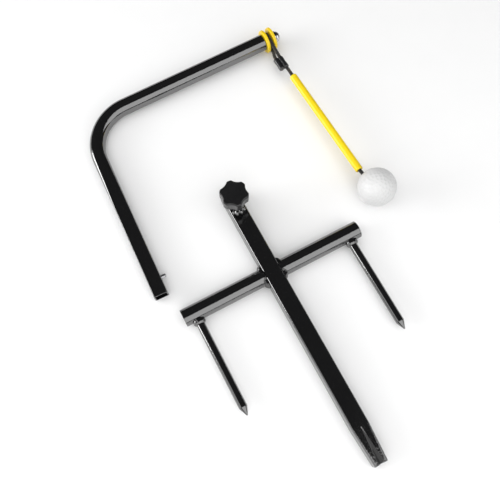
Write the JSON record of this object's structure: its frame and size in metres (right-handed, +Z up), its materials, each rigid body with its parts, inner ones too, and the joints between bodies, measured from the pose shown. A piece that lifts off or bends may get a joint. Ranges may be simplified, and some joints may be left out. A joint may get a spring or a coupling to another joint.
{
  "type": "tetherball set",
  "caption": "Swing trainer laid out flat: a ground stake with prongs and a clamp socket, and an L-shaped arm that carries a ball on a short swivelling tether.",
  "frame": {"origin": "on the surface that the set lies on, at the middle of the stake's flat underside, under the point where the stake and the crossbar cross", "axes": "+Y along the stake towards its socket and clamp, +X along the crossbar towards the ball, +Z up"},
  "size_m": [0.2903, 0.4882, 0.047],
  "materials": {
    "black_steel": "gloss black baked enamel",
    "plated_steel": "zinc plated",
    "spring_steel": "blued spring steel",
    "chrome": "polished",
    "knob_plastic": "satin moulded",
    "black_plastic": "satin moulded",
    "yellow_plastic": "semi gloss",
    "cord": "braided",
    "ball_white": "dimpled, semi gloss",
    "ball_rubber": "moulded"
  },
  "bodies": {
    "stake": {"stake_tube": "black_steel", "crossbar_left": "black_steel", "crossbar_right": "black_steel", "crossbar_welds": "black_steel", "prong_left": "black_steel", "prong_right": "black_steel", "prong_welds": "black_steel", "clamp_boss": "black_steel", "boss_weld": "black_steel"},
    "clamp_washer": {"clamp_washer": "plated_steel"},
    "knob": {"knob_grip": "knob_plastic", "clamp_bolt": "plated_steel"},
    "arm": {"arm_tube": "black_steel", "axle_plug": "plated_steel", "axle_bolt": "plated_steel", "cap_nut": "chrome", "snap_spring": "spring_steel"},
    "button": {"snap_button": "plated_steel"},
    "inner_washer": {"inner_washer": "yellow_plastic"},
    "outer_washer": {"outer_washer": "yellow_plastic"},
    "tether": {"swivel_bushing": "black_plastic", "tether_cord": "cord", "cord_clamp": "black_plastic", "cord_anchor": "plated_steel", "ball_cover": "ball_white", "ball_core": "ball_rubber"},
    "sleeve": {"grip_sleeve": "yellow_plastic"}
  },
  "joints": [
    {"name": "arm_lift", "type": "slide", "parent": "stake", "child": "arm", "axis": [0, 0, 1], "range_m": [0, 0.25]},
    {"name": "clamp_screw_travel", "type": "slide", "parent": "stake", "child": "clamp_washer", "axis": [0, 0, -1], "range_m": [-0.00125, 0.0025]},
    {"name": "knob_turn", "type": "hinge", "parent": "clamp_washer", "child": "knob", "pos_m": [0, 0.0862, 0.036], "axis": [0, 0, -1], "range_deg": [-361, 721]},
    {"name": "button_press", "type": "slide", "parent": "arm", "child": "button", "axis": [-0.999, 0.0401, -0.0195], "range_m": [0, 0.0053], "stiffness_N_per_m": 300, "springref_m": -0.003, "deforming": ["snap_spring"]},
    {"name": "tether_swing", "type": "hinge", "parent": "arm", "child": "tether", "pos_m": [0.1347, 0.2578, 0.0136], "axis": [0.9998, 0, 0.0196], "continuous": true},
    {"name": "inner_washer_spin", "type": "hinge", "parent": "arm", "child": "inner_washer", "pos_m": [0.13031, 0.2578, 0.01351], "axis": [0.9998, 0, 0.0196], "continuous": true},
    {"name": "outer_washer_spin", "type": "hinge", "parent": "arm", "child": "outer_washer", "pos_m": [0.1391, 0.2578, 0.01368], "axis": [0.9998, 0, 0.0196], "continuous": true},
    {"name": "sleeve_slide", "type": "slide", "parent": "tether", "child": "sleeve", "axis": [-0.0306, 0.9991, -0.0292], "range_m": [-0.005, 0.0135]}
  ],
  "couplings": [
    {"joint": "knob_turn", "follows": "clamp_screw_travel", "rad_per_m": 5026.5}
  ]
}
